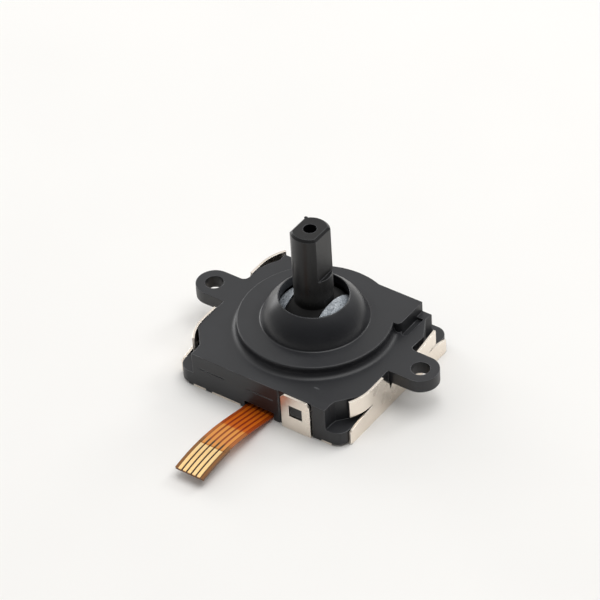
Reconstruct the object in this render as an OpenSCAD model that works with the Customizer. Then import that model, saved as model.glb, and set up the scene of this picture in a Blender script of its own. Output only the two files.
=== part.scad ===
// Two-axis thumb stick with a press switch, low-profile slider type, before its cap is fitted.
// The origin is under the stick, on the plane that the steel base stands on.
// +X runs to the right screw ear, +Y away from the flex tail and +Z up the stick.

/* [Housing] */
// Half the width of the moulded housing, left to right
body_half_w = 8.95; // [8.6:0.05:9.6]
// From the stick's axis to the front wall, where the flex tail leaves
front_reach = 9.08; // [8.6:0.02:10]
// How far the plateau stands out over the upper back wall
back_inset = 0.5; // [0.3:0.05:0.8]
// From the upper back wall to the back edge of the low corner ledges
ledge_depth = 1.05; // [0.8:0.05:1.4]
// Height of the flat top face
face_z = 3.8; // [3.7:0.05:4.2]
// Height of the corner ledges
ledge_z = 1.55; // [1.4:0.05:1.8]
// Thickness of the moulded walls
wall = 0.75; // [0.6:0.05:0.9]
// Corner radius of the ledges
ledge_corner_r = 1.2; // [0.8:0.1:1.6]

/* [Plateau and dome] */
// Radius of the raised round plateau
plateau_r = 7.1; // [6.9:0.05:7.4]
// Height of the plateau
plateau_z = 4.86; // [4.8:0.02:5.2]
// Rounding of the plateau's edge
plateau_edge = 0.16; // [0.08:0.02:0.3]
// Wall of the ball-shaped dome
dome_wall = 0.58; // [0.5:0.02:0.7]
// Height of the centre of the dome's outer ball above the pivot
dome_lift = 0.23; // [0:0.01:0.4]
// Room between the stick and the round mouth that limits it
mouth_room = 1.39; // [1.35:0.01:1.6]
// Width of the mouth's flat rim
rim_land = 0.08; // [0.04:0.01:0.2]
// Radius of the hollow fillet round the plateau's foot
foot_fillet = 0.55; // [0.3:0.05:0.8]
// Radius of the hollow fillet round the dome's foot
dome_fillet = 0.16; // [0.1:0.02:0.3]
// Right edge of the raised slab beside the plateau
slab_x = 7.1; // [6.8:0.05:7.4]
// Front edge of that slab
slab_y = 2.9; // [2.5:0.1:3.5]
// Corner radius of the slab, where it runs into the plateau's edge
slab_r = 0.5; // [0.3:0.1:0.8]

/* [Screw ears] */
// Distance between the two screw holes
ear_spacing = 22.5; // [22:0.1:24]
// Radius of the screw holes
ear_hole_r = 0.87; // [0.7:0.01:1]
// Outer radius of the ears
ear_r = 1.72; // [1.6:0.02:1.9]
// Thickness of the ears
ear_t = 1.3; // [1:0.05:1.6]
// Radius of the hollow fillets where the ears' back sides meet the housing
ear_fillet = 0.6; // [0.3:0.1:0.9]

/* [Steel base] */
// Thickness of the sheet
sheet_t = 0.22; // [0.18:0.01:0.25]
// Gap between the sheet and the moulding beside it
sheet_gap = 0.05; // [0.03:0.01:0.1]
// Top edge of the spring tongues
tongue_top = 3.85; // [3.7:0.05:4.1]
// Bottom edge of the spring tongues, where the fork opens
fork_z = 2.1; // [1.9:0.05:2.3]
// Bend radius of the tongues, to the sheet's outer face
tongue_bend_r = 4.9; // [4.4:0.1:6]
// Turn of the left leaf's tongues, in degrees
tongue_turn = 35; // [20:1:38]
// Turn of the right leaf's front tongue, in degrees
right_turn = 31; // [20:1:38]
// How far the flat tongue behind the right ear stands off its leaf
sprung_out = 0.5; // [0.3:0.05:0.6]
// Lean of that tongue back towards the housing, in degrees
sprung_lean = 8.5; // [4:0.5:10]
// How much lower than the other tongues it ends
sprung_drop = 0.25; // [0:0.05:0.5]
// From the front wall back to where the front tongues start to bend
fork_front = 4.48; // [4.2:0.02:5]
// From the ledges' back edge forward to where the back tongues start to bend
fork_back = 3.35; // [3:0.05:4]
// Gap between an ear and the top edge of the leaf below it
saddle_gap = 0.06; // [0.04:0.01:0.2]
// Bottom of the notches beside the ears
notch_z = 1.75; // [1.6:0.05:2.2]
// How far the right side leans out behind its ear, in degrees
flare = 2.6; // [0:0.2:3]
// Left edge of the window tab on the front
tab_x = 2.6; // [2.2:0.1:3]
// Width of the window tab
tab_w = 3.1; // [2.8:0.1:3.4]
// Height of the window tab
tab_top = 3.8; // [3.5:0.05:3.9]
// Sill of the window in the tab
window_z = 1.55; // [1.4:0.05:1.8]
// Width of the window
window_w = 1.4; // [1:0.1:1.8]
// Height of the window
window_h = 1.25; // [0.8:0.05:1.5]

/* [Stick] */
// Radius of the round part of the stick
stick_r = 1.8; // [1.7:0.02:1.84]
// Half the distance across the two flats
stick_flat = 1.4; // [1.2:0.05:1.6]
// Height at which the flats end
flat_z = 10.1; // [9.4:0.1:11.3]
// Height of the stick's top
stick_top = 14.9; // [13.8:0.1:16.8]
// Bevel round the top
stick_bevel = 0.22; // [0.1:0.02:0.3]
// Radius of the blind hole in the top
socket_r = 0.62; // [0.5:0.02:0.8]
// Depth of that hole
socket_depth = 1.4; // [0.8:0.1:2.5]

/* [Rocker and pin] */
// Height of the pivot, where both tilt axes cross
pivot_z = 3.1; // [3.06:0.02:3.2]
// Gap between the bearings' ends and the round wall of the room under the plateau
room_gap = 0.55; // [0.4:0.05:0.8]
// Length of each trunnion bearing along its bore
bearing_len = 1.25; // [1:0.05:1.4]
// Half the width of each trunnion bearing
bearing_half = 1.6; // [1.2:0.1:1.8]
// Gap between the ball-shaped rocker and the bearings
rocker_gap = 0.15; // [0.1:0.01:0.3]
// Gap between the rocker and the dome over it
dome_gap = 0.2; // [0.1:0.02:0.3]
// Wall of the rocker
rocker_wall = 0.6; // [0.4:0.05:0.8]
// Radius of the cross pin
pin_r = 0.55; // [0.45:0.01:0.6]
// Radius of the rocker's trunnions
trunnion_r = 0.8; // [0.6:0.02:0.9]
// Radial clearance of every running fit
run_gap = 0.05; // [0.03:0.01:0.08]
// Half the width of the stick's curved saddle
saddle_half = 1.65; // [1.5:0.05:1.7]
// How far the saddle's curved top lies below the rocker's
saddle_sink = 0.1; // [0.04:0.02:0.2]
// Reach of the saddle each way from the stick, in degrees
saddle_turn = 52; // [48:1:54]
// Largest tilt about each axis, in degrees
tilt_max = 11; // [8:1:11]
// Travel of the press switch
press_travel = 0.25; // [0.15:0.05:0.3]
// Clearance between pieces that pass each other
pass_gap = 0.1; // [0.08:0.01:0.12]

/* [Sliders] */
// Thickness of each slider
slider_t = 0.25; // [0.22:0.01:0.27]
// Half the width of each slider along its travel
slider_half = 2.4; // [2.2:0.1:2.6]
// Room between the ends of each slider and the back wall of the hollow
slider_room = 0.85; // [0.7:0.05:1.2]
// Radius of the stub below the stick that drives the sliders
stub_r = 0.7; // [0.5:0.02:0.72]
// Clearance of the stub in the sliders' slots
stub_gap = 0.12; // [0.1:0.01:0.16]
// Distance of each centring spring and wiper from its slider's end
spring_inset = 0.75; // [0.6:0.05:1]
// Mean radius of the centring springs
coil_r = 0.34; // [0.3:0.01:0.36]
// Wire radius of the centring springs
wire_r = 0.06; // [0.04:0.01:0.08]
// Length of the centring springs
coil_len = 2.6; // [2:0.1:3]
// Turns of the centring springs
coil_turns = 9; // [6:1:10]

/* [Flex circuit] */
// Thickness of the film
film_t = 0.1; // [0.08:0.01:0.12]
// Distance between neighbouring contact fingers
pitch = 0.5; // [0.5:0.05:0.6]
// Number of contact fingers
fingers = 5; // [3:1:6]
// Width of one finger
finger_w = 0.34; // [0.2:0.02:0.4]
// From the axis to the end of the tail
tail_reach = 19.5; // [17:0.1:24]
// Height of the tail's end
tail_end_z = 1.1; // [0.8:0.1:1.8]
// Twentieths of the tail's curve that the bare fingers take, from its end
finger_steps = 5; // [3:1:6]
// Twentieths of the curve that the stiffener takes, from its end
stiffener_steps = 6; // [4:1:8]
// Thickness of the stiffener under the tail's end
stiffener_t = 0.2; // [0.15:0.01:0.3]
// Thickness of the plating and of the printed tracks
print_t = 0.03; // [0.02:0.01:0.04]

/* [Press switch] */
// Radius of the snap dome
snap_r = 2.0; // [1.8:0.1:2.2]
// Rise of the snap dome
snap_h = 0.28; // [0.25:0.01:0.3]
// Thickness of the snap dome's sheet
snap_t = 0.08; // [0.05:0.01:0.1]
// Radius of the click plunger
plunger_r = 1.6; // [1.4:0.05:1.8]

/* [Hidden] */
$fn = 72;
over = 0.5;
leaf_in = body_half_w + sheet_gap;
leaf_out = leaf_in + sheet_t;
ear_x = ear_spacing / 2;
tab_in = front_reach - 0.03;
bearing_far = plateau_r - wall - room_gap;
bearing_near = bearing_far - bearing_len;
rocker_r = bearing_near - rocker_gap;
trunnion_tip = bearing_far - 0.1;
saddle_r = rocker_r - saddle_sink;
dome_room = rocker_r - rocker_wall;
dome_in = rocker_r + dome_gap;
dome_r = dome_in + dome_wall;
dome_z = pivot_z + dome_lift;
mouth_r = stick_r + mouth_room;
rim_z = dome_z + sqrt(pow(dome_r, 2) - pow(mouth_r + rim_land, 2));
back_reach = plateau_r - back_inset;
ledge_back = back_reach + ledge_depth;
bend_front = front_reach - fork_front;
bend_back = ledge_back - fork_back;
slider_reach = back_reach - wall - slider_room;
spring_reach = slider_reach - spring_inset;
roof_z = face_z - wall;
plateau_roof = plateau_z - wall;
film_z = sheet_t + film_t;
snap_top = film_z + snap_t + snap_h;
film_cover_t = 0.02;
plunger_z = snap_top + film_cover_t + 0.01;
plunger_t = 0.2;
stub_z = plunger_z + plunger_t + 0.02;
y_slider_z = stub_z + 0.06;
x_slider_z = y_slider_z + slider_t + 0.08;
tray_top = x_slider_z + slider_t + 0.15;
stub_len = pivot_z - stub_z;
slot_half = stub_r + stub_gap;
// Each slider's travel is the pivot's height above its middle times the tilt in radians
x_travel = (pivot_z - x_slider_z - slider_t / 2) * tilt_max * PI / 180;
y_travel = (pivot_z - y_slider_z - slider_t / 2) * tilt_max * PI / 180;
guide_gap = 0.06;
neck_z = pivot_z + rocker_r + press_travel + pass_gap;
slot_turn = saddle_turn + tilt_max
            + asin((press_travel * sin(saddle_turn) + pass_gap) / dome_room);
cheek_t = 0.9;
boss_r = pin_r + run_gap + 0.35;
tail_w = (fingers + 1) * pitch;
cavity_half = body_half_w - wall;
cavity_front = front_reach - wall;
cavity_back = back_reach - wall;
tray_gap = 0.05;
ledge_skin = 0.2;
boss_gap = 0.1;
hollow_r = 0.36;
wiper_t = 0.08;
wiper_half = 0.18;
track_y = 0.35;
corner_y = ledge_back - ledge_corner_r;
lean_x = corner_y * tan(flare);
// Where the floor's lips show along the front edge, as [from, to]
LIPS = [[-7.25, -5.9], [-5.2, -2.1], [6.7, 7.75]];

// The tail's side view is one cubic curve from inside the front wall to its end, as [y, z]
TAIL = [[0.5 - front_reach, film_z - film_t / 2], [-0.59 * tail_reach, 0.7],
        [-0.745 * tail_reach, tail_end_z + 1.0], [-tail_reach, tail_end_z]];
function curve(t) = pow(1 - t, 3) * TAIL[0] + 3 * t * pow(1 - t, 2) * TAIL[1]
                    + 3 * t * t * (1 - t) * TAIL[2] + pow(t, 3) * TAIL[3];
function slope(t) = 3 * pow(1 - t, 2) * (TAIL[1] - TAIL[0]) + 6 * t * (1 - t) * (TAIL[2] - TAIL[1])
                    + 3 * t * t * (TAIL[3] - TAIL[2]);
// A point beside the curve, raised by d square to it
function beside(t, d) = let (s = slope(t), n = norm(s)) curve(t) + d * [s[1], -s[0]] / n;
function arc(cx, cy, r, from, to, steps) =
    [for (i = [0 : steps]) let (a = from + (to - from) * i / steps) [cx + r * cos(a), cy + r * sin(a)]];

// A band that follows the last steps of the tail's curve between two heights above it
module tail_band(steps, low, high, width, shift = 0) {
    all_steps = 20;
    first = all_steps - steps;
    translate([shift - width / 2, 0, 0]) rotate([90, 0, 90]) linear_extrude(width)
        polygon(concat([for (i = [first : all_steps]) beside(i / all_steps, low)],
                       [for (i = [all_steps : -1 : first]) beside(i / all_steps, high)]));
}

// One front quarter of the top face's outline: a hollow corner that leaves room for a spring tongue
module front_quarter() {
    wall_r = tongue_bend_r - sheet_t - sheet_gap;
    polygon(concat([[0, 0], [body_half_w, 0]], arc(body_half_w - wall_r, bend_front, wall_r, 0, 16, 4),
                   [[body_half_w - 1.65, front_reach - 1.45], [body_half_w - 1.75, front_reach - 0.9],
                    [body_half_w - 1.75, front_reach], [0, front_reach]]));
}

// One back quarter, with its flank leaning out by an angle
module back_quarter(lean) {
    flank = 3.7;
    polygon([[0, 0], [body_half_w, 0], [body_half_w + flank * tan(lean), flank],
             [body_half_w - 0.45, back_reach - 1.75], [body_half_w - 1.0, back_reach - 0.85],
             [body_half_w - 0.88, back_reach], [0, back_reach]]);
}

module top_outline() {
    for (side = [0, 1]) mirror([side, 0]) {
        mirror([0, 1]) front_quarter();
        back_quarter(side ? 0 : flare);
    }
}

module slab_outline() {
    translate([0, slab_y]) square([slab_x - slab_r, back_reach - slab_y]);
    translate([0, slab_y + slab_r]) square([slab_x, back_reach - slab_y - slab_r]);
    translate([slab_x - slab_r, slab_y + slab_r]) circle(slab_r);
}

// The ledges' outline, whose right flank leans out behind the ear
module ledge_outline() {
    round_box(body_half_w, -front_reach, ledge_back, ledge_corner_r);
    polygon([[0, 0], [body_half_w, 0], [body_half_w + lean_x, corner_y],
             [body_half_w + lean_x - ledge_corner_r, ledge_back], [0, ledge_back]]);
    translate([body_half_w + lean_x - ledge_corner_r, corner_y]) circle(ledge_corner_r);
}

module round_box(x_half, y_low, y_high, r) {
    difference() {
        translate([-x_half, y_low]) square([2 * x_half, y_high - y_low]);
        for (side = [0, 1], end = [0, 1]) mirror([side, 0])
            translate([x_half - r, end ? y_high - r : y_low + r]) mirror([0, 1 - end]) difference() {
                square(r + over);
                circle(r);
            }
    }
}

module ear_outline(side) mirror([side, 0]) {
    translate([ear_x, 0]) circle(ear_r);
    translate([0, -ear_r]) square([ear_x, 2 * ear_r]);
    translate([body_half_w - over, ear_r - over]) difference() {
        square(ear_fillet + over);
        translate([ear_fillet + over, ear_fillet + over]) circle(ear_fillet);
    }
}

// The raised round plateau, its foot hollowed into the top face
module plateau() {
    foot_x = plateau_r + foot_fillet;
    rotate_extrude() polygon(concat([[0, face_z - 0.3], [plateau_r, face_z - 0.3]],
        arc(foot_x, face_z + foot_fillet, foot_fillet, -90, -180, 9),
        arc(plateau_r - plateau_edge, plateau_z - plateau_edge, plateau_edge, 0, 90, 5),
        [[0, plateau_z]]));
}

module upper_housing() color("#3c3e41") {
    housing_shell();
    // Boss that the window of the steel tab snaps over
    translate([tab_x + (tab_w - window_w) / 2 + boss_gap, -tab_in - sheet_t + 0.1, window_z + boss_gap])
        cube([window_w - 2 * boss_gap, 0.4, window_h - 2 * boss_gap]);
}

module housing_shell() difference() {
    union() {
        translate([0, 0, sheet_t]) linear_extrude(ledge_z - sheet_t) ledge_outline();
        // Skirt in front of the steel floor, left open for its lips and its window tab
        difference() {
            translate([ledge_corner_r - body_half_w, -front_reach, 0.04])
                cube([2 * (body_half_w - ledge_corner_r), 0.24, sheet_t]);
            for (lip = LIPS) translate([lip[0] - 0.04, -front_reach - over, -over])
                cube([lip[1] - lip[0] + 0.08, 1, over + sheet_t]);
            translate([tab_x - 0.1, -front_reach - over, -over])
                cube([tab_w + 0.2, 1, over + sheet_t]);
        }
        translate([0, 0, ledge_z - over]) linear_extrude(face_z - ledge_z + over) top_outline();
        translate([0, 0, face_z - ear_t]) linear_extrude(ear_t) {
            ear_outline(0);
            ear_outline(1);
        }
        plateau();
        translate([0, 0, face_z - over]) linear_extrude(plateau_z - face_z + over) slab_outline();
        intersection() {
            translate([0, 0, dome_z]) sphere(dome_r);
            translate([0, 0, plateau_z - over]) cylinder(h = rim_z - plateau_z + over, r = dome_r);
        }
        // Hollow fillet round the dome's foot
        rotate_extrude() let (rise = plateau_z + dome_fillet - dome_z,
                              out = sqrt(pow(dome_r + dome_fillet, 2) - pow(rise, 2)))
            polygon(concat([[out - 0.3, plateau_z - 0.1], [out, plateau_z - 0.1]],
                           arc(out, plateau_z + dome_fillet, dome_fillet, -90, atan2(rise, out) - 180, 6),
                           [[out - 0.3, plateau_z + 0.1]]));
    }
    // The hollow inside, with a round room under the plateau and a ball under the dome
    translate([-cavity_half, -cavity_front, sheet_t - over])
        cube([2 * cavity_half, cavity_front + cavity_back, ledge_z - ledge_skin - sheet_t + over]);
    translate([0, 0, ledge_z - over]) linear_extrude(roof_z - ledge_z + over)
        round_box(cavity_half - 1.6, -cavity_front, cavity_back, 0.4);
    intersection() {
        translate([0, 0, roof_z - over]) cylinder(h = plateau_roof - roof_z + over, r = plateau_r - wall);
        translate([-front_reach, -front_reach, 0])
            cube([2 * front_reach, front_reach + cavity_back, rim_z]);
    }
    translate([0, 0, pivot_z]) sphere(dome_in);
    translate([0, 0, pivot_z]) cylinder(h = rim_z, r = mouth_r);
    // Screw holes
    for (side = [-1, 1]) translate([side * ear_x, 0, face_z - ear_t - over])
        cylinder(h = ear_t + 2 * over, r = ear_hole_r);
    // Recess behind the window tab
    translate([tab_x - 0.4, -front_reach - over, sheet_t - over])
        cube([tab_w + 0.5, over + 0.1, tab_top + over - 0.1]);
    // Way out for the flex tail
    translate([-tail_w / 2 - 0.1, -front_reach - over, 0])
        cube([tail_w + 0.2, wall + 2 * over, film_z + 0.55]);
    // Two shallow steps in the front wall
    for (x = [-6.5, -1.2]) translate([x, -front_reach - over, 2.3]) cube([2.8, over + 0.05, 0.1]);
    // Hollow beside the slab
    translate([slab_x + hollow_r, slab_y + hollow_r, face_z - 0.35]) {
        cylinder(h = 1, r = hollow_r);
        translate([-hollow_r, 0, 0]) cube([2 * hollow_r, back_reach - slab_y - 1.3, 1]);
    }
}

// Flat half of one side leaf with its wrapped arm, along +y; upper is its edge beside the ear as [y, z]
module leaf_flat(corner, upper) {
    saddle_z = face_z - ear_t - saddle_gap;
    notch_y = ear_r - 0.1;
    translate([leaf_in, 0, 0]) rotate([90, 0, 90]) linear_extrude(sheet_t)
        polygon(concat([[0, 0], [corner, 0], [corner, ledge_z - 0.05], [corner - 1.25, ledge_z + 0.2]],
                       upper, [[notch_y + 0.2, notch_z], [notch_y - 0.2, saddle_z], [0, saddle_z]]));
    translate([body_half_w - ledge_corner_r, corner, 0.12]) linear_extrude(ledge_z - 0.25)
        sheet_arc(ledge_corner_r + sheet_gap + sheet_t, 9);
}

// Half of one side leaf with a tongue above its fork, bent inward
module leaf_half(bend, corner, turn) {
    leaf_flat(corner, [[bend + 0.15, fork_z - 0.12], [bend, fork_z], [bend, tongue_top],
                       [ear_r + 1.1, tongue_top], [ear_r + 1.1, tongue_top - 0.25],
                       [ear_r + 0.25, tongue_top - 1.3]]);
    // The tongue, with the corners of its tip cut
    difference() {
        translate([leaf_out - tongue_bend_r, bend, fork_z]) linear_extrude(tongue_top - fork_z)
            sheet_arc(tongue_bend_r, turn);
        translate([leaf_out - tongue_bend_r, bend, tongue_top]) rotate([0, 0, turn])
            translate([0, -0.1, 0]) rotate([45, 0, 0]) cube([9, 0.5, 0.6]);
        translate([leaf_out - tongue_bend_r, bend, fork_z]) rotate([0, 0, turn])
            rotate([45, 0, 0]) cube([9, 0.3, 0.3], center = true);
    }
}

// Half of the right leaf behind the ear: its flat tongue stands off on a joggle, as in the photo
module sprung_half() {
    root = ear_r + 0.08;
    root_z = fork_z - 0.3;
    leaf_flat(corner_y, [[root + 1.2, root_z], [root, root_z]]);
    translate([0, root + 0.8, 0]) rotate([90, 0, 0]) linear_extrude(0.8)
        polygon([[leaf_in, root_z - 0.1], [leaf_out, root_z - 0.1], [leaf_out + sprung_out, fork_z + 0.1],
                 [leaf_in + sprung_out, fork_z + 0.1]]);
    translate([leaf_out + sprung_out, root, fork_z]) rotate([0, 0, sprung_lean])
        translate([-sheet_t, 0, 0]) cube([sheet_t, 3.4, tongue_top - sprung_drop - fork_z]);
}

// A bent strip of the sheet, seen from above, from its bend's start through an angle
module sheet_arc(r, turn) intersection() {
    difference() {
        circle(r);
        circle(r - sheet_t);
    }
    polygon([[0, 0], [0, -0.02], [2 * r, -0.02], [2 * r, 2 * r * tan(turn)]]);
}

module base_plate() color("#c8c4ba") {
    inset = 0.12;
    linear_extrude(sheet_t) {
        round_box(body_half_w - inset, 0.27 - front_reach, ledge_back - inset, ledge_corner_r);
        polygon([[-leaf_out, ledge_corner_r - front_reach], [leaf_out, ledge_corner_r - front_reach],
                 [leaf_out, 0], [leaf_out + lean_x, corner_y], [-leaf_out, corner_y]]);
        for (lip = LIPS) translate([lip[0], 0.02 - front_reach]) square([lip[1] - lip[0], 1]);
        translate([tab_x, -tab_in - sheet_t]) square([tab_w, 1]);
    }
    // Right leaf, then left leaf
    mirror([0, 1, 0]) leaf_half(bend_front, front_reach - ledge_corner_r, right_turn);
    translate([leaf_in, 0, 0]) rotate([0, 0, -flare]) translate([-leaf_in, 0, 0]) sprung_half();
    mirror([1, 0, 0]) {
        mirror([0, 1, 0]) leaf_half(bend_front, front_reach - ledge_corner_r, tongue_turn);
        leaf_half(bend_back, corner_y, tongue_turn);
    }
    // Window tab, with its top corners cut
    translate([tab_x, -tab_in, 0]) rotate([90, 0, 0]) linear_extrude(sheet_t) difference() {
        square([tab_w, tab_top]);
        translate([(tab_w - window_w) / 2, window_z]) square([window_w, window_h]);
        for (x = [0, tab_w]) translate([x, tab_top]) rotate(45) square(0.5, center = true);
    }
}

module inner_tray() color("#2f3134") {
    rail_x = slider_reach + guide_gap;
    difference() {
        translate([tray_gap - cavity_half, tray_gap - cavity_front, film_z])
            cube([2 * (cavity_half - tray_gap), cavity_front + cavity_back - 2 * tray_gap,
                  x_slider_z - 0.04 - film_z]);
        // Room for the lower slider, with its two shelves
        translate([-rail_x, -slider_half - y_travel - 0.3, y_slider_z - 0.04])
            cube([2 * rail_x, 2 * (slider_half + y_travel + 0.3), 2]);
        // Well of the snap dome and plunger
        cylinder(h = 3, r = snap_r + 0.15);
        // Wells of the wipers and of the springs
        translate([spring_reach - 0.75, -1.9, 0]) cube([1.5, 3.8, 3]);
        translate([-1.9, spring_reach - 0.75, 0]) cube([3.8, 1.5, 3]);
        translate([-spring_reach - 0.5, -coil_len / 2 - 0.05, 0]) cube([1, coil_len + 0.1, 3]);
        translate([-coil_len / 2 - 0.05, -spring_reach - 0.5, 0]) cube([coil_len + 0.1, 1, 3]);
    }
    // Rim that guides the upper slider and carries the bearings
    translate([0, 0, x_slider_z - 0.04]) linear_extrude(tray_top - x_slider_z + 0.04) difference() {
        round_box(cavity_half - 1.6 - tray_gap, tray_gap - cavity_front, cavity_back - tray_gap, 0.4);
        translate([-slider_reach - 0.1, -rail_x]) square([2 * slider_reach + 0.2, 2 * rail_x]);
    }
}

// A ring bearing for one trunnion, seated on the tray's rim
module bearing(direction) {
    mirror([0, direction, 0]) difference() {
        translate([-bearing_half, bearing_near, tray_top])
            cube([2 * bearing_half, bearing_far - bearing_near, plateau_roof - tray_top]);
        translate([0, 0, pivot_z]) rotate([-90, 0, 0]) cylinder(h = 9, r = trunnion_r + run_gap);
    }
}

module front_bearing() color("#d8d4c8") bearing(1);
module rear_bearing() color("#d8d4c8") bearing(0);

// An upright wedge that opens by an angle to each side
module wedge(turn) {
    polygon([[0, 0], [9 * sin(turn), 9 * cos(turn)], [9, 9], [-9, 9], [-9 * sin(turn), 9 * cos(turn)]]);
}

module dome_rocker() color("#dde2e4") translate([0, 0, pivot_z]) difference() {
    union() {
        difference() {
            sphere(rocker_r);
            sphere(dome_room);
            translate([-9, -9, -9]) cube([18, 18, 9]);
        }
        // Cheeks that carry the cross pin
        intersection() {
            sphere(rocker_r - 0.1);
            for (side = [0, 1]) mirror([side, 0, 0]) translate([saddle_half + pass_gap, 0, 0]) {
                translate([0, -boss_r, 0]) cube([cheek_t, 2 * boss_r, rocker_r]);
                rotate([0, 90, 0]) cylinder(h = cheek_t, r = boss_r);
            }
        }
        // Trunnions
        for (side = [0, 1]) mirror([0, side, 0]) rotate([-90, 0, 0]) {
            translate([0, 0, dome_room]) cylinder(h = trunnion_tip - dome_room, r = trunnion_r);
        }
    }
    // Slot in which the stick's saddle swings
    intersection() {
        translate([-saddle_half - pass_gap, -9, 0]) cube([2 * (saddle_half + pass_gap), 18, 9]);
        rotate([90, 0, 90]) translate([0, 0, -9]) linear_extrude(18)
            wedge(slot_turn);
    }
    // Bore for the cross pin
    rotate([0, 90, 0]) translate([0, 0, -9]) cylinder(h = 18, r = pin_r + run_gap);
}

module cross_pin() color("#b9bcc0") translate([0, 0, pivot_z]) rotate([0, 90, 0])
    cylinder(h = 2 * (saddle_half + pass_gap + cheek_t), r = pin_r, center = true);

module stick() color("#3a3b3e") difference() {
    union() {
        // Round shaft, cut to two flats above the shoulder
        difference() {
            rotate_extrude() polygon([[0, neck_z], [stick_r, neck_z],
                [stick_r, stick_top - stick_bevel], [stick_r - stick_bevel, stick_top], [0, stick_top]]);
            for (side = [0, 1]) mirror([side, 0, 0]) {
                translate([stick_flat, -9, flat_z]) cube([9, 18, stick_top]);
                translate([stick_flat, 0, stick_top]) rotate([0, 45, 0])
                    cube([2 * stick_bevel, 18, stick_bevel * sqrt(2)], center = true);
            }
        }
        // Neck and curved saddle
        translate([0, 0, pivot_z]) intersection() {
            translate([-saddle_half, -9, -9]) cube([2 * saddle_half, 18, 30]);
            union() {
                cylinder(h = neck_z - pivot_z + 0.05, r = stick_r);
                intersection() {
                    sphere(saddle_r);
                    rotate([90, 0, 90]) translate([0, 0, -9]) linear_extrude(18) wedge(saddle_turn);
                }
                rotate([0, 90, 0]) translate([0, 0, -9]) cylinder(h = 18, r = boss_r);
            }
        }
        // Stub with a ball end centred on the pivot
        translate([0, 0, pivot_z]) intersection() {
            sphere(stub_len);
            translate([0, 0, -stub_len - 1]) cylinder(h = stub_len + 1, r = stub_r);
        }
    }
    // Long hole: the stick slides down on the pin when it is pressed
    translate([0, 0, pivot_z]) rotate([0, 90, 0]) translate([0, 0, -9]) {
        cylinder(h = 18, r = pin_r + run_gap);
        translate([-press_travel, 0, 0]) cylinder(h = 18, r = pin_r + run_gap);
        translate([-press_travel, -pin_r - run_gap, 0]) cube([press_travel, 2 * (pin_r + run_gap), 18]);
    }
    translate([0, 0, stick_top - socket_depth]) cylinder(h = socket_depth + over, r = socket_r);
}

// A slider plate as it travels along X: a slot across it for the stub and a notch for its spring
module slider(z, cross_travel, spring_side) {
    translate([0, 0, z]) linear_extrude(slider_t) difference() {
        translate([-slider_half, -slider_reach]) square([2 * slider_half, 2 * slider_reach]);
        stub_slot(cross_travel);
        translate([-coil_len / 2 - 0.02, -spring_side * spring_reach - coil_r - wire_r - 0.06])
            square([coil_len + 0.04, 2 * (coil_r + wire_r + 0.06)]);
    }
}

module stub_slot(travel) {
    for (end = [-1, 1]) translate([0, end * (travel + 0.08)]) circle(slot_half);
    translate([-slot_half, -travel - 0.08]) square([2 * slot_half, 2 * travel + 0.16]);
}

module x_slider() color("#e6e2d6") slider(x_slider_z, y_travel, 1);
module y_slider() color("#cfcabc") rotate([0, 0, -90]) slider(y_slider_z, x_travel + 0.1, 1);

// A sprung wiper under the end of a slider, with two fingers that reach down to its track
module wiper(z) {
    low = film_z + print_t + 0.03;
    for (side = [-1, 1]) translate([0, spring_reach + side * track_y + wiper_half, 0]) rotate([90, 0, 0])
        linear_extrude(2 * wiper_half)
            polygon([[-0.5, z], [-0.5, z - wiper_t], [0.4, z - wiper_t], [1.1, low + wiper_t],
                     [1.25, low], [1.4, low + wiper_t], [1.35, low + 2 * wiper_t], [1.2, low + 1.5 * wiper_t], [0.5, z]]);
    translate([-0.5, spring_reach - track_y - wiper_half, z - wiper_t])
        cube([0.5, 2 * (track_y + wiper_half), wiper_t]);
}

module x_wiper() color("#d9b25a") wiper(x_slider_z);
module y_wiper() color("#d9b25a") rotate([0, 0, -90]) wiper(y_slider_z);

// A coil along X, swept as one tube
module coil(z) {
    sides = 6;
    per_turn = 10;
    rings = coil_turns * per_turn;
    step = (coil_len - 2 * wire_r) / rings;
    points = [for (i = [0 : rings], j = [0 : sides - 1])
        let (a = 360 * i / per_turn, b = 360 * j / sides, r = coil_r + wire_r * cos(b))
        [wire_r - coil_len / 2 + i * step + wire_r * sin(b), r * cos(a), r * sin(a)]];
    walls = [for (i = [0 : rings - 1], j = [0 : sides - 1]) let (k = (j + 1) % sides)
        [i * sides + j, (i + 1) * sides + j, (i + 1) * sides + k, i * sides + k]];
    translate([0, -spring_reach, z]) polyhedron(points, concat(walls, [[for (j = [0 : sides - 1]) j],
        [for (j = [sides - 1 : -1 : 0]) rings * sides + j]]));
}

module x_return_spring() color("#c9ccd0") coil(x_slider_z + slider_t / 2);
module y_return_spring() color("#c9ccd0") rotate([0, 0, -90]) coil(y_slider_z + slider_t / 2);

module click_plunger() color("#e8e6de") translate([0, 0, plunger_z])
    cylinder(h = plunger_t, r = plunger_r);

// Ball radius of a cap of the given foot radius and height
function cap_r(r, h) = (r * r + h * h) / (2 * h);

// Section of a thin ball cap from the middle out to a radius, between two heights over the snap dome
module cap_section(radius, low, high) {
    ball = cap_r(snap_r, snap_h);
    turn = asin(radius / ball);
    polygon(concat(arc(0, snap_h - ball, ball + high, 90, 90 - turn, 8),
                   arc(0, snap_h - ball, ball + low, 90 - turn, 90, 8)));
}

module snap_dome() color("#d0d2d4") translate([0, 0, film_z + snap_t]) rotate_extrude()
    cap_section(snap_r, -snap_t, 0);

module dome_film() color("#f0e8c8") translate([0, 0, film_z + snap_t]) rotate_extrude()
    cap_section(snap_r * 0.75, 0, film_cover_t);

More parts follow.
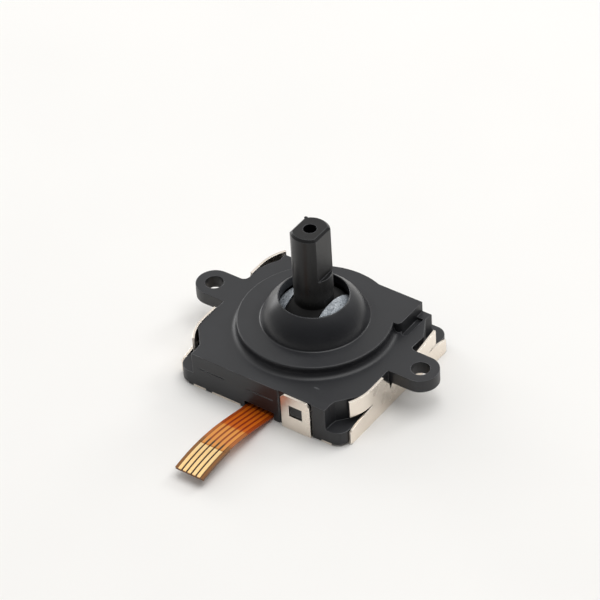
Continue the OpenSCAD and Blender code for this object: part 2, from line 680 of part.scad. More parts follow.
module flex_circuit() color("#b8620e") {
    translate([0, 0, sheet_t]) linear_extrude(film_t) {
        round_box(cavity_half - 0.3, -cavity_front + 0.2, cavity_back - 0.3, 0.5);
        translate([-tail_w / 2, TAIL[0][0]]) square([tail_w, 2]);
    }
    tail_band(20, -film_t / 2, film_t / 2, tail_w);
}

module carbon_tracks() color("#26282a") translate([0, 0, film_z]) linear_extrude(print_t) {
    for (turn = [0, -90], side = [-1, 1]) rotate(turn)
        translate([0.5, spring_reach + side * track_y - 0.2]) square([1.3, 0.4]);
}

module contact_fingers() color("#fbe0a0")
    for (i = [0 : fingers - 1])
        tail_band(finger_steps, film_t / 2, film_t / 2 + print_t, finger_w,
                  (i - (fingers - 1) / 2) * pitch);

module tail_stiffener() color("#7a5a30")
    tail_band(stiffener_steps, -film_t / 2 - stiffener_t, -film_t / 2, tail_w);

upper_housing();
base_plate();
inner_tray();
front_bearing();
rear_bearing();
dome_rocker();
cross_pin();
stick();
x_slider();
y_slider();
x_wiper();
y_wiper();
x_return_spring();
y_return_spring();
click_plunger();
snap_dome();
dome_film();
flex_circuit();
carbon_tracks();
contact_fingers();
tail_stiffener();
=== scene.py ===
import math

import bmesh
import bpy
from mathutils import Matrix, Vector, noise


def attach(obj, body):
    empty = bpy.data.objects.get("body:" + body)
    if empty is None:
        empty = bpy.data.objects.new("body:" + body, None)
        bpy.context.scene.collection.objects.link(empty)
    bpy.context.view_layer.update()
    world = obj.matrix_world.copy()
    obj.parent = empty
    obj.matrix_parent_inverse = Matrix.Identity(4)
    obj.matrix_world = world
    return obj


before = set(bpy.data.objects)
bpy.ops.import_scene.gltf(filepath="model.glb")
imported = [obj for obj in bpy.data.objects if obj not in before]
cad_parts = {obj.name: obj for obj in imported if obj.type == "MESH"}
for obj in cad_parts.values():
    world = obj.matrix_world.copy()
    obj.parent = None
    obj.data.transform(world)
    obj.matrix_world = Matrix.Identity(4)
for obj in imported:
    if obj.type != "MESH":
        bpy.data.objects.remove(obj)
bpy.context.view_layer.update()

# Camera: a long lens from the front right, about forty degrees up, a little rolled.
# It was placed by measuring the flex tail, the ears and the round plateau in the photograph.
MM = 0.001
lens = bpy.data.cameras.new("camera")
lens.lens = 216
lens.sensor_width = 36
lens.clip_start = 0.01
camera = bpy.data.objects.new("camera", lens)
bpy.context.scene.collection.objects.link(camera)
bpy.context.scene.camera = camera
camera_right = Vector((0.81828, 0.57269, -0.04942))
camera_up = Vector((-0.34021, 0.55181, 0.76142))
camera_back = Vector((0.46333, -0.60625, 0.64637))
camera.matrix_world = (Matrix.Translation(Vector((147.432, -194.997, 213.885)) * MM)
                       @ Matrix((camera_right, camera_up, camera_back)).transposed().to_4x4())


# Upper housing: one moulding of black glass-filled PBT, with its dome, plateau, screw ears and ledges.
# It comes from a spark-eroded steel mould, which leaves an even satin grain and softened edges.
def linear(code):
    """An sRGB hex value as Blender's linear colour."""
    parts = [int(code[i:i + 2], 16) / 255 for i in (1, 3, 5)]
    return (*[p / 12.92 if p <= 0.04045 else ((p + 0.055) / 1.055) ** 2.4 for p in parts], 1.0)


def add(tree, kind, feeds=None, **settings):
    """Adds one node: settings are its properties, feeds its sockets' values or the sockets that feed them."""
    node = tree.nodes.new(kind)
    for name, value in settings.items():
        setattr(node, name, value)
    for name, value in (feeds or {}).items():
        if isinstance(value, bpy.types.NodeSocket):
            tree.links.new(value, node.inputs[name])
        else:
            node.inputs[name].default_value = value
    return node


def finish_named(name):
    """A new material with an empty node tree; each section fills it."""
    made = bpy.data.materials.new(name)
    made.use_nodes = True
    made.node_tree.nodes.clear()
    return made, made.node_tree


def per_mm(size):
    """The texture scale that makes one cell of a pattern this many millimetres wide."""
    return 1 / (size * MM)


def dress(finish, *nodes):
    """Gives CAD nodes their finish through the material slots of their objects."""
    for node in nodes:
        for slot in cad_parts[node].material_slots:
            slot.link = "OBJECT"
            slot.material = finish


# Glass-filled PBT, spark eroded: dark bluish grey, satin. The real grain is about 0.03 mm, too fine
# to show, so it is drawn at 0.11 mm, and slow drifts of 2.5 mm in sheen come from the flow of the glass.
# The mould's insert for the dome is polished, so the plastic is glossier within 5.6 mm of the stick's axis.
EDGE_R = 0.11 * MM
moulded_pbt, tree = finish_named("moulded_black_pbt")
place = add(tree, "ShaderNodeTexCoord").outputs["Object"]
grain = add(tree, "ShaderNodeTexNoise", {"Vector": place, "Scale": per_mm(0.11), "Detail": 3.0, "Roughness": 0.6})
drift = add(tree, "ShaderNodeTexNoise", {"Vector": place, "Scale": per_mm(2.5), "Detail": 4.0, "Roughness": 0.55})
rounded = add(tree, "ShaderNodeBevel", {"Radius": EDGE_R}, samples=6)
facing = add(tree, "ShaderNodeNewGeometry").outputs["Normal"]
turned = add(tree, "ShaderNodeVectorMath", {0: rounded.outputs["Normal"], 1: facing}, operation="DOT_PRODUCT")
# Edges and creases, the concave fillets too, are painted pale grey in patches: partly wear, and partly painted
# highlight where the round edges would catch the light.
wear_and_highlight = add(tree, "ShaderNodeMapRange", {"Value": turned.outputs["Value"], "From Min": 0.975, "From Max": 0.80,
                                        "To Min": 0.0, "To Max": 1.0})
patchy = add(tree, "ShaderNodeMapRange", {"Value": drift.outputs["Fac"], "From Min": 0.42, "From Max": 0.62,
                                          "To Min": 0.3, "To Max": 1.0})
rubbed_and_highlit = add(tree, "ShaderNodeMath", {0: wear_and_highlight.outputs["Result"], 1: patchy.outputs["Result"]}, operation="MULTIPLY")
body_tone = add(tree, "ShaderNodeMix", {"Factor": drift.outputs["Fac"], "A": linear("#1d1e21"),
                                        "B": linear("#242529")}, data_type="RGBA")
edge_tone = add(tree, "ShaderNodeMix", {"Factor": rubbed_and_highlit.outputs["Value"], "A": body_tone.outputs["Result"],
                                        "B": linear("#8b8d90")}, data_type="RGBA")
satin = add(tree, "ShaderNodeMapRange", {"Value": drift.outputs["Fac"], "From Min": 0.3, "From Max": 0.7,
                                         "To Min": 0.40, "To Max": 0.48})
flat_place = add(tree, "ShaderNodeVectorMath", {0: place, 1: (1.0, 1.0, 0.0)}, operation="MULTIPLY")
from_axis = add(tree, "ShaderNodeVectorMath", {0: flat_place.outputs["Vector"]}, operation="LENGTH")
polish = add(tree, "ShaderNodeMapRange", {"Value": from_axis.outputs["Value"], "From Min": 5.4 * MM,
                                          "From Max": 5.8 * MM, "To Min": 0.68, "To Max": 1.0})
sheen = add(tree, "ShaderNodeMath", {0: satin.outputs["Result"], 1: polish.outputs["Result"]}, operation="MULTIPLY")
relief = add(tree, "ShaderNodeBump", {"Strength": 0.12, "Distance": 0.02 * MM, "Height": grain.outputs["Fac"],
                                      "Normal": rounded.outputs["Normal"]})
skin = add(tree, "ShaderNodeBsdfPrincipled", {"Base Color": edge_tone.outputs["Result"],
                                              "Roughness": sheen.outputs["Value"], "IOR": 1.5,
                                              "Specular IOR Level": 0.5, "Normal": relief.outputs["Normal"]})
add(tree, "ShaderNodeOutputMaterial", {"Surface": skin.outputs["BSDF"]})
dress(moulded_pbt, "upper_housing")

# Gate mark on the top face: the mould's pin gate breaks off there and leaves a low oval rim
# round a shallow pit, of the same plastic, whitened where it tore.
# Torn PBT: pale grey and rough, mottled in specks of 0.15 mm.
torn_pbt, tree = finish_named("torn_black_pbt")
place = add(tree, "ShaderNodeTexCoord").outputs["Object"]
specks = add(tree, "ShaderNodeTexNoise", {"Vector": place, "Scale": per_mm(0.15), "Detail": 2.0})
tone = add(tree, "ShaderNodeMix", {"Factor": specks.outputs["Fac"], "A": linear("#2a2b2d"),
                                   "B": linear("#515356")}, data_type="RGBA")
skin = add(tree, "ShaderNodeBsdfPrincipled", {"Base Color": tone.outputs["Result"], "Roughness": 0.6, "IOR": 1.57})
add(tree, "ShaderNodeOutputMaterial", {"Surface": skin.outputs["BSDF"]})
gate_rings = [(0.30, 0.0), (0.25, 0.03), (0.18, 0.04), (0.12, 0.02), (0.06, 0.008), (0.0, 0.008)]
gate_mesh = bmesh.new()
last = None
for reach, rise in gate_rings:
    ring = [gate_mesh.verts.new(((4.95 + reach * math.cos(a)) * MM, (-7.0 + 0.35 * reach * math.sin(a)) * MM,
                                 (3.801 + rise) * MM))
            for a in (2 * math.pi * i / 28 for i in range(28 if reach else 1))]
    if last and len(ring) > 1:
        for i in range(28):
            gate_mesh.faces.new((last[i], last[(i + 1) % 28], ring[(i + 1) % 28], ring[i]))
    elif last:
        for i in range(28):
            gate_mesh.faces.new((last[i], last[(i + 1) % 28], ring[0]))
    last = ring


def make_piece(name, mesh, finish, body):
    """Turns a bmesh into a smooth piece that rides on a CAD body."""
    bmesh.ops.recalc_face_normals(mesh, faces=mesh.faces)
    data = bpy.data.meshes.new(name)
    mesh.to_mesh(data)
    mesh.free()
    data.shade_smooth()
    data.materials.append(finish)
    piece = bpy.data.objects.new(name, data)
    bpy.context.scene.collection.objects.link(piece)
    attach(piece, body)
    return piece


make_piece("gate_mark", gate_mesh, torn_pbt, "housing")


# Steel base: nickel-plated sheet steel, stamped and folded, whose side leaves grip the moulding.
# It is bright with a fine lengthwise rolling grain, and its sheared edges are painted near white, partly for burnishing
# and partly as painted highlight.
# Nickel plate on rolled steel: warm silver. The rolling lines are near 0.02 mm apart, drawn at 0.06 mm.
plated_steel, tree = finish_named("nickel_plated_steel")
place = add(tree, "ShaderNodeTexCoord").outputs["Object"]
along = add(tree, "ShaderNodeMapping", {"Vector": place, "Scale": (1.0, 0.04, 1.0)})
rolled = add(tree, "ShaderNodeTexNoise", {"Vector": along.outputs["Vector"], "Scale": per_mm(0.06), "Detail": 4.0})
smudge = add(tree, "ShaderNodeTexNoise", {"Vector": place, "Scale": per_mm(1.6), "Detail": 3.0})
tone = add(tree, "ShaderNodeMix", {"Factor": smudge.outputs["Fac"], "A": linear("#efe4d7"),
                                   "B": linear("#fdf4e8")}, data_type="RGBA")
dulled = add(tree, "ShaderNodeMapRange", {"Value": smudge.outputs["Fac"], "From Min": 0.3, "From Max": 0.7,
                                          "To Min": 0.24, "To Max": 0.36})
rounded = add(tree, "ShaderNodeBevel", {"Radius": 0.05 * MM}, samples=6)
facing = add(tree, "ShaderNodeNewGeometry").outputs["Normal"]
turned = add(tree, "ShaderNodeVectorMath", {0: rounded.outputs["Normal"], 1: facing}, operation="DOT_PRODUCT")
# Sheared edges are painted near white: partly burnishing, partly painted highlight along the sheet's edges.
burnished_and_highlit = add(tree, "ShaderNodeMapRange", {"Value": turned.outputs["Value"], "From Min": 0.99, "From Max": 0.88})
edge_tone = add(tree, "ShaderNodeMix", {"Factor": burnished_and_highlit.outputs["Result"], "A": tone.outputs["Result"],
                                        "B": linear("#fdfaf5")}, data_type="RGBA")
relief = add(tree, "ShaderNodeBump", {"Strength": 0.12, "Distance": 0.01 * MM, "Height": rolled.outputs["Fac"],
                                      "Normal": rounded.outputs["Normal"]})
skin = add(tree, "ShaderNodeBsdfPrincipled", {"Base Color": edge_tone.outputs["Result"], "Metallic": 1.0,
                                              "Roughness": dulled.outputs["Result"],
                                              "Normal": relief.outputs["Normal"]})
add(tree, "ShaderNodeOutputMaterial", {"Surface": skin.outputs["BSDF"]})
dress(plated_steel, "base_plate")


# Stick: a moulded shaft of black glass-filled nylon with two flats for the thumb cap.
# It is a shade darker and glossier than the housing, with faint flow lines along it.
# Below the dome's mouth it is painted near black and rough, partly for old dark grease and partly as painted shade from
# the dome.
moulded_nylon, tree = finish_named("moulded_black_nylon")
place = add(tree, "ShaderNodeTexCoord").outputs["Object"]
upright = add(tree, "ShaderNodeMapping", {"Vector": place, "Scale": (1.0, 1.0, 0.12)})
flow = add(tree, "ShaderNodeTexNoise", {"Vector": upright.outputs["Vector"], "Scale": per_mm(0.5), "Detail": 4.0})
grain = add(tree, "ShaderNodeTexNoise", {"Vector": place, "Scale": per_mm(0.1), "Detail": 3.0})
rounded = add(tree, "ShaderNodeBevel", {"Radius": 0.08 * MM}, samples=6)
facing = add(tree, "ShaderNodeNewGeometry").outputs["Normal"]
turned = add(tree, "ShaderNodeVectorMath", {0: rounded.outputs["Normal"], 1: facing}, operation="DOT_PRODUCT")
# The edges are painted pale grey: partly wear, partly painted highlight along the top bevel and the flats.
wear_and_highlight = add(tree, "ShaderNodeMapRange", {"Value": turned.outputs["Value"], "From Min": 0.985, "From Max": 0.85,
                                        "To Min": 0.0, "To Max": 0.9})
tone = add(tree, "ShaderNodeMix", {"Factor": flow.outputs["Fac"], "A": linear("#0e0e0f"),
                                   "B": linear("#161617")}, data_type="RGBA")
rubbed_and_highlit = add(tree, "ShaderNodeMix", {"Factor": wear_and_highlight.outputs["Result"], "A": tone.outputs["Result"],
                                     "B": linear("#6f7276")}, data_type="RGBA")
height = add(tree, "ShaderNodeSeparateXYZ", {"Vector": place})
# Below 7.0 mm, fading out by 8.9 mm, the colour is painted near black and the surface made rough: grease, and painted
# shade under the dome.
above_grease_and_shade = add(tree, "ShaderNodeMapRange", {"Value": height.outputs["Z"], "From Min": 7.0 * MM, "From Max": 8.9 * MM})
edge_tone = add(tree, "ShaderNodeMix", {"Factor": above_grease_and_shade.outputs["Result"], "A": linear("#060606"),
                                        "B": rubbed_and_highlit.outputs["Result"]}, data_type="RGBA")
satin = add(tree, "ShaderNodeMapRange", {"Value": flow.outputs["Fac"], "From Min": 0.3, "From Max": 0.7,
                                         "To Min": 0.27, "To Max": 0.36})
sheen = add(tree, "ShaderNodeMix", {"Factor": above_grease_and_shade.outputs["Result"], "A": 0.8, "B": satin.outputs["Result"]})
relief = add(tree, "ShaderNodeBump", {"Strength": 0.18, "Distance": 0.02 * MM, "Height": grain.outputs["Fac"],
                                      "Normal": rounded.outputs["Normal"]})
skin = add(tree, "ShaderNodeBsdfPrincipled", {"Base Color": edge_tone.outputs["Result"],
                                              "Roughness": sheen.outputs["Result"], "IOR": 1.53,
                                              "Specular IOR Level": 0.38,
                                              "Normal": relief.outputs["Normal"]})
add(tree, "ShaderNodeOutputMaterial", {"Surface": skin.outputs["BSDF"]})
dress(moulded_nylon, "stick")

# Burr at the stick's top: a crumb of flash that the mould left on the left back edge.
burr_mesh = bmesh.new()
bmesh.ops.create_icosphere(burr_mesh, subdivisions=3, radius=1.0)
for v in burr_mesh.verts:
    swell = 1 + 0.35 * noise.noise(v.co * 1.7)
    v.co = Vector((-1.22 + 0.17 * v.co.x * swell, 1.15 + 0.14 * v.co.y * swell, 14.83 + 0.09 * v.co.z * swell)) * MM
make_piece("stick_burr", burr_mesh, moulded_nylon, "stick")


# Rocker: the ball-shaped white acetal piece that is seen in the dome's mouth, smeared with damping grease.
# The grease lies over it as an uneven wet film, so its highlights are bright and broken.
# Acetal under grease: milky bluish white; the grease is waves of about 0.6 mm under a clear gloss coat.
greased_acetal, tree = finish_named("greased_white_acetal")
place = add(tree, "ShaderNodeTexCoord").outputs["Object"]
smear = add(tree, "ShaderNodeTexNoise", {"Vector": place, "Scale": per_mm(0.6), "Detail": 4.0, "Distortion": 1.5})
cloud = add(tree, "ShaderNodeTexNoise", {"Vector": place, "Scale": per_mm(1.5), "Detail": 4.0})
tone = add(tree, "ShaderNodeMix", {"Factor": cloud.outputs["Fac"], "A": linear("#8a96a2"),
                                   "B": linear("#d3d8dd")}, data_type="RGBA")
wet = add(tree, "ShaderNodeBump", {"Strength": 1.0, "Distance": 0.30 * MM, "Height": smear.outputs["Fac"]})
skin = add(tree, "ShaderNodeBsdfPrincipled", {"Base Color": tone.outputs["Result"], "Roughness": 0.42, "IOR": 1.48,
                                              "Coat Weight": 1.0, "Coat Roughness": 0.06, "Coat IOR": 1.46,
                                              "Normal": wet.outputs["Normal"], "Coat Normal": wet.outputs["Normal"]})
add(tree, "ShaderNodeOutputMaterial", {"Surface": skin.outputs["BSDF"]})
dress(greased_acetal, "dome_rocker")


# Flex tail: copper traces between two amber polyimide films, glued to a stiffener at its bare end.
# Over the traces the film reads lighter, and between them dark, in lines half a millimetre apart.
PITCH = 0.5
TRACE_W = 0.34
TAIL_HALF = 1.5
FILM_TOP = 0.05
tail_points = [(-8.58, 0.27), (-11.505, 0.7), (-14.5275, 2.1), (-19.5, 1.1)]


def tail_curve(t, lift):
    """A point of the tail's side view as (y, z) in mm, raised square to the curve."""
    p = [Vector(q) for q in tail_points]
    at = (1 - t) ** 3 * p[0] + 3 * t * (1 - t) ** 2 * p[1] + 3 * t * t * (1 - t) * p[2] + t ** 3 * p[3]
    way = (3 * (1 - t) ** 2 * (p[1] - p[0]) + 6 * t * (1 - t) * (p[2] - p[1]) + 3 * t * t * (p[3] - p[2])).normalized()
    return at + lift * Vector((way.y, -way.x))


# Polyimide over copper: glossy amber. The colour steps across the tail at the real 0.5 mm pitch, and
# along it from the dark stretch by the housing, which is painted shade, to the pale bent stretch, which is painted
# light;
# where the brown stiffener lies behind, the clear gaps between the five traces read nearly black. The two margins are a
# blend of both tones.
polyimide, tree = finish_named("amber_polyimide_film")
place = add(tree, "ShaderNodeTexCoord").outputs["Object"]
across = add(tree, "ShaderNodeSeparateXYZ", {"Vector": place})
lane = add(tree, "ShaderNodeMath", {0: across.outputs["X"], 1: PITCH / 2 * MM}, operation="PINGPONG")
on_lane = add(tree, "ShaderNodeMapRange", {"Value": lane.outputs["Value"], "From Min": 0.13 * MM, "From Max": 0.18 * MM,
                                         "To Min": 1.0, "To Max": 0.0}, interpolation_type="SMOOTHSTEP")
sideways = add(tree, "ShaderNodeMath", {0: across.outputs["X"]}, operation="ABSOLUTE")
within = add(tree, "ShaderNodeMapRange", {"Value": sideways.outputs["Value"], "From Min": 1.19 * MM,
                                          "From Max": 1.25 * MM, "To Min": 1.0, "To Max": 0.0})
trace = add(tree, "ShaderNodeMix", {"Factor": within.outputs["Result"], "A": 0.3, "B": on_lane.outputs["Result"]})
# Along the tail the tones shift from a darker stretch by the housing, painted shade, to a paler one past -12.95 mm,
# painted light on the bend.
shade_to_light = add(tree, "ShaderNodeMapRange", {"Value": across.outputs["Y"], "From Min": -12.65 * MM,
                                          "From Max": -12.95 * MM}, interpolation_type="SMOOTHSTEP")
over_copper = add(tree, "ShaderNodeMix", {"Factor": shade_to_light.outputs["Result"], "A": linear("#c96210"),
                                          "B": linear("#da9040")}, data_type="RGBA")
between = add(tree, "ShaderNodeMix", {"Factor": shade_to_light.outputs["Result"], "A": linear("#862b05"),
                                      "B": linear("#8e3e0b")}, data_type="RGBA")
over_stiffener = add(tree, "ShaderNodeMapRange", {"Value": across.outputs["Y"], "From Min": -15.0 * MM,
                                                  "From Max": -15.5 * MM}, interpolation_type="SMOOTHSTEP")
backed = add(tree, "ShaderNodeMix", {"Factor": over_stiffener.outputs["Result"], "A": between.outputs["Result"],
                                     "B": linear("#3f2208")}, data_type="RGBA")
tone = add(tree, "ShaderNodeMix", {"Factor": trace.outputs["Result"], "A": backed.outputs["Result"],
                                   "B": over_copper.outputs["Result"]}, data_type="RGBA")
ripple = add(tree, "ShaderNodeTexNoise", {"Vector": place, "Scale": per_mm(0.8), "Detail": 2.0})
raised = add(tree, "ShaderNodeMath", {0: trace.outputs["Result"], 1: ripple.outputs["Fac"]}, operation="ADD")
relief = add(tree, "ShaderNodeBump", {"Strength": 0.35, "Distance": 0.02 * MM, "Height": raised.outputs["Value"]})
skin = add(tree, "ShaderNodeBsdfPrincipled", {"Base Color": tone.outputs["Result"], "Roughness": 0.38, "IOR": 1.68,
                                              "Specular IOR Level": 0.25,
                                              "Normal": relief.outputs["Normal"]})
add(tree, "ShaderNodeOutputMaterial", {"Surface": skin.outputs["BSDF"]})
dress(polyimide, "flex_circuit")

# Cover film of the tail: a thin sheet laid over the traces, so it stands a little higher above each one.
# It stops short of the bare fingers.
cover_mesh = bmesh.new()
COVER_STEPS, LANES = 60, 72
rows = []
for i in range(COVER_STEPS + 1):
    t = 0.055 + (0.745 - 0.055) * i / COVER_STEPS
    row = []
    for j in range(LANES + 1):
        x = TAIL_HALF * (2 * j / LANES - 1) * 0.995
        nearest = min(2, max(-2, round(x / PITCH))) * PITCH
        off = abs(x - nearest) / (TRACE_W / 2)
        rise = 0.014 / (1 + math.exp((off - 1.1) * 9))
        y, z = tail_curve(t, FILM_TOP + 0.008 + rise)
        row.append(cover_mesh.verts.new((x * MM, y * MM, z * MM)))
    rows.append(row)
for a, b in zip(rows, rows[1:]):
    for j in range(LANES):
        cover_mesh.faces.new((a[j], a[j + 1], b[j + 1], b[j]))
rim = bmesh.ops.extrude_edge_only(cover_mesh, edges=[e for e in cover_mesh.edges if e.is_boundary])
for v in (g for g in rim["geom"] if isinstance(g, bmesh.types.BMVert)):
    v.co.z -= 0.012 * MM
make_piece("tail_cover_film", cover_mesh, polyimide, "housing")

# Gold fingers: electroless nickel and a thin gold plate on the copper, bare for the connector.
# Thin gold over nickel: pale yellow, soft gloss, with fine wiping marks along each finger near 0.05 mm.
gold_plate, tree = finish_named("gold_plated_copper")
place = add(tree, "ShaderNodeTexCoord").outputs["Object"]
along = add(tree, "ShaderNodeMapping", {"Vector": place, "Scale": (1.0, 0.05, 1.0)})
wiped = add(tree, "ShaderNodeTexNoise", {"Vector": along.outputs["Vector"], "Scale": per_mm(0.05), "Detail": 3.0})
cloud = add(tree, "ShaderNodeTexNoise", {"Vector": place, "Scale": per_mm(0.9), "Detail": 2.0})
tone = add(tree, "ShaderNodeMix", {"Factor": cloud.outputs["Fac"], "A": linear("#ffd088"),
                                   "B": linear("#ffe6b0")}, data_type="RGBA")
relief = add(tree, "ShaderNodeBump", {"Strength": 0.1, "Distance": 0.01 * MM, "Height": wiped.outputs["Fac"]})
skin = add(tree, "ShaderNodeBsdfPrincipled", {"Base Color": tone.outputs["Result"], "Metallic": 1.0,
                                              "Roughness": 0.34, "Normal": relief.outputs["Normal"]})
add(tree, "ShaderNodeOutputMaterial", {"Surface": skin.outputs["BSDF"]})
dress(gold_plate, "contact_fingers")

# Stiffener: a strip of thicker brown polyimide laminate glued behind the fingers.
# Laminate: matt brown with a faint fibre pattern of about 0.3 mm.
laminate, tree = finish_named("brown_polyimide_laminate")
place = add(tree, "ShaderNodeTexCoord").outputs["Object"]
fibre = add(tree, "ShaderNodeTexNoise", {"Vector": place, "Scale": per_mm(0.3), "Detail": 4.0})
tone = add(tree, "ShaderNodeMix", {"Factor": fibre.outputs["Fac"], "A": linear("#5e3a17"),
                                   "B": linear("#7d5228")}, data_type="RGBA")
relief = add(tree, "ShaderNodeBump", {"Strength": 0.2, "Distance": 0.01 * MM, "Height": fibre.outputs["Fac"]})
skin = add(tree, "ShaderNodeBsdfPrincipled", {"Base Color": tone.outputs["Result"], "Roughness": 0.5, "IOR": 1.6,
                                              "Normal": relief.outputs["Normal"]})
add(tree, "ShaderNodeOutputMaterial", {"Surface": skin.outputs["BSDF"]})
dress(laminate, "tail_stiffener")


# Working parts inside: sliders, plunger and bearings of natural acetal, lying on the flex circuit.
# They are hidden by the housing, and show only when it is lifted off.
# Natural acetal, moulded: milky cream, waxy; faint clouds of 1.2 mm from the flow.
natural_acetal, tree = finish_named("natural_acetal")
place = add(tree, "ShaderNodeTexCoord").outputs["Object"]
cloud = add(tree, "ShaderNodeTexNoise", {"Vector": place, "Scale": per_mm(1.2), "Detail": 3.0})
tone = add(tree, "ShaderNodeMix", {"Factor": cloud.outputs["Fac"], "A": linear("#dcd7c8"),
                                   "B": linear("#ece8dc")}, data_type="RGBA")
relief = add(tree, "ShaderNodeBump", {"Strength": 0.1, "Distance": 0.02 * MM, "Height": cloud.outputs["Fac"]})
skin = add(tree, "ShaderNodeBsdfPrincipled", {"Base Color": tone.outputs["Result"], "Roughness": 0.4, "IOR": 1.48,
                                              "Subsurface Weight": 0.1, "Subsurface Scale": 0.3 * MM,
                                              "Normal": relief.outputs["Normal"]})
add(tree, "ShaderNodeOutputMaterial", {"Surface": skin.outputs["BSDF"]})
dress(natural_acetal, "x_slider", "y_slider", "click_plunger", "front_bearing", "rear_bearing")

# Tray: the black moulded floor that guides the sliders, of the housing's own PBT.
dress(moulded_pbt, "inner_tray")

# Cross pin, snap dome and springs: hard stainless steel, ground, pressed or drawn.
# Stainless steel: cool grey, with fine round marks of the grinding near 0.04 mm.
stainless, tree = finish_named("ground_stainless_steel")
place = add(tree, "ShaderNodeTexCoord").outputs["Object"]
marks = add(tree, "ShaderNodeTexNoise", {"Vector": place, "Scale": per_mm(0.04), "Detail": 2.0})
cloud = add(tree, "ShaderNodeTexNoise", {"Vector": place, "Scale": per_mm(0.8), "Detail": 2.0})
tone = add(tree, "ShaderNodeMix", {"Factor": cloud.outputs["Fac"], "A": linear("#b9bcc0"),
                                   "B": linear("#d2d4d6")}, data_type="RGBA")
relief = add(tree, "ShaderNodeBump", {"Strength": 0.08, "Distance": 0.01 * MM, "Height": marks.outputs["Fac"]})
skin = add(tree, "ShaderNodeBsdfPrincipled", {"Base Color": tone.outputs["Result"], "Metallic": 1.0,
                                              "Roughness": 0.25, "Normal": relief.outputs["Normal"]})
add(tree, "ShaderNodeOutputMaterial", {"Surface": skin.outputs["BSDF"]})
dress(stainless, "cross_pin", "snap_dome", "x_return_spring", "y_return_spring")

# Wipers: stamped phosphor bronze with a gold flash, each with two sprung fingers on the carbon tracks.
# Phosphor bronze: warm brown gold, with rolling lines drawn at 0.05 mm.
bronze, tree = finish_named("phosphor_bronze")
place = add(tree, "ShaderNodeTexCoord").outputs["Object"]
lines = add(tree, "ShaderNodeTexNoise", {"Vector": place, "Scale": per_mm(0.05), "Detail": 2.0})
tone = add(tree, "ShaderNodeMix", {"Factor": lines.outputs["Fac"], "A": linear("#c99a4c"),
                                   "B": linear("#dcb46a")}, data_type="RGBA")
skin = add(tree, "ShaderNodeBsdfPrincipled", {"Base Color": tone.outputs["Result"], "Metallic": 1.0,
                                              "Roughness": 0.3})
add(tree, "ShaderNodeOutputMaterial", {"Surface": skin.outputs["BSDF"]})
dress(bronze, "x_wiper", "y_wiper")

# Carbon tracks: resistive ink, screen printed on the flex circuit and baked, matt black.
# Carbon ink: a grainy black whose specks are about 0.08 mm.
carbon_ink, tree = finish_named("printed_carbon_ink")
place = add(tree, "ShaderNodeTexCoord").outputs["Object"]
specks = add(tree, "ShaderNodeTexNoise", {"Vector": place, "Scale": per_mm(0.08), "Detail": 3.0})
tone = add(tree, "ShaderNodeMix", {"Factor": specks.outputs["Fac"], "A": linear("#151515"),
                                   "B": linear("#2a2a2c")}, data_type="RGBA")
relief = add(tree, "ShaderNodeBump", {"Strength": 0.3, "Distance": 0.01 * MM, "Height": specks.outputs["Fac"]})
skin = add(tree, "ShaderNodeBsdfPrincipled", {"Base Color": tone.outputs["Result"], "Roughness": 0.7,
                                              "Normal": relief.outputs["Normal"]})
add(tree, "ShaderNodeOutputMaterial", {"Surface": skin.outputs["BSDF"]})
dress(carbon_ink, "carbon_tracks")

# Cover film of the snap dome: clear polyester with an acrylic glue, which holds the dome in its place.
# Polyester film: nearly clear, faintly yellow, glossy with small ripples of 0.5 mm.
polyester, tree = finish_named("clear_polyester_film")
place = add(tree, "ShaderNodeTexCoord").outputs["Object"]
ripple = add(tree, "ShaderNodeTexNoise", {"Vector": place, "Scale": per_mm(0.5), "Detail": 2.0})
tone = add(tree, "ShaderNodeMix", {"Factor": ripple.outputs["Fac"], "A": linear("#efe6c6"),
                                   "B": linear("#f7f1dc")}, data_type="RGBA")
skin = add(tree, "ShaderNodeBsdfPrincipled", {"Base Color": tone.outputs["Result"], "Roughness": 0.2, "IOR": 1.57})
add(tree, "ShaderNodeOutputMaterial", {"Surface": skin.outputs["BSDF"]})
dress(polyester, "dome_film")


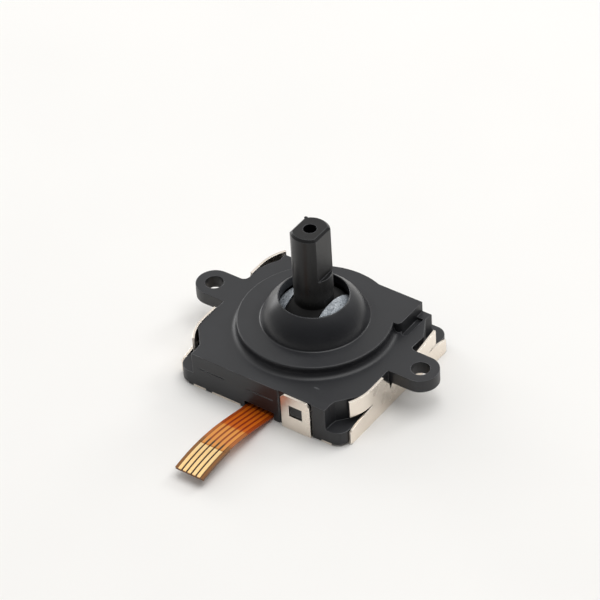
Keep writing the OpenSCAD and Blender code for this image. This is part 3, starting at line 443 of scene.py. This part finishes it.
# Studio: a pale matt table, a wide soft light overhead, a small one behind that draws the round edges,
# a low one on the left, and a room that is bright behind the object and dim where the picture is taken from.
# Nothing here belongs to the object.
table_mesh = bpy.data.meshes.new("table")
table_mesh.from_pydata([(-3, -3, 0), (3, -3, 0), (3, 3, 0), (-3, 3, 0)], [], [(0, 1, 2, 3)])
table = bpy.data.objects.new("table", table_mesh)
bpy.context.scene.collection.objects.link(table)
paper, tree = finish_named("pale_paper")
place = add(tree, "ShaderNodeTexCoord").outputs["Object"]
cloud = add(tree, "ShaderNodeTexNoise", {"Vector": place, "Scale": per_mm(20), "Detail": 2.0})
tone = add(tree, "ShaderNodeMix", {"Factor": cloud.outputs["Fac"], "A": linear("#f1f0ee"),
                                   "B": linear("#f5f4f2")}, data_type="RGBA")
skin = add(tree, "ShaderNodeBsdfPrincipled", {"Base Color": tone.outputs["Result"], "Roughness": 0.9,
                                              "Specular IOR Level": 0.1})
add(tree, "ShaderNodeOutputMaterial", {"Surface": skin.outputs["BSDF"]})
table_mesh.materials.append(paper)

room = bpy.data.worlds.new("room")
room.use_nodes = True
room.node_tree.nodes.clear()
way = add(room.node_tree, "ShaderNodeTexCoord").outputs["Generated"]
toward = add(room.node_tree, "ShaderNodeVectorMath", {0: way, 1: (-0.46, 0.60, 0.65)}, operation="DOT_PRODUCT")
glow = add(room.node_tree, "ShaderNodeMapRange", {"Value": toward.outputs["Value"], "From Min": -0.2, "From Max": 0.9,
                                                  "To Min": 0.12, "To Max": 0.82})
air = add(room.node_tree, "ShaderNodeBackground", {"Color": linear("#fbfaf8"), "Strength": glow.outputs["Result"]})
add(room.node_tree, "ShaderNodeOutputWorld", {"Surface": air.outputs["Background"]})
bpy.context.scene.world = room
bpy.context.scene.view_settings.view_transform = "Standard"

for name, place, width, power in (("soft_top", (0.08, 0.08, 0.50), 0.40, 1.35),
                                  ("soft_back", (0.12, 0.36, 0.28), 0.12, 0.30),
                                  ("soft_left", (-0.42, 0.10, 0.12), 0.24, 0.6)):
    lamp = bpy.data.lights.new(name, "AREA")
    lamp.size = width
    lamp.energy = power
    holder = bpy.data.objects.new(name, lamp)
    holder.location = place
    holder.rotation_euler = (-Vector(place)).to_track_quat("-Z", "Y").to_euler()
    bpy.context.scene.collection.objects.link(holder)
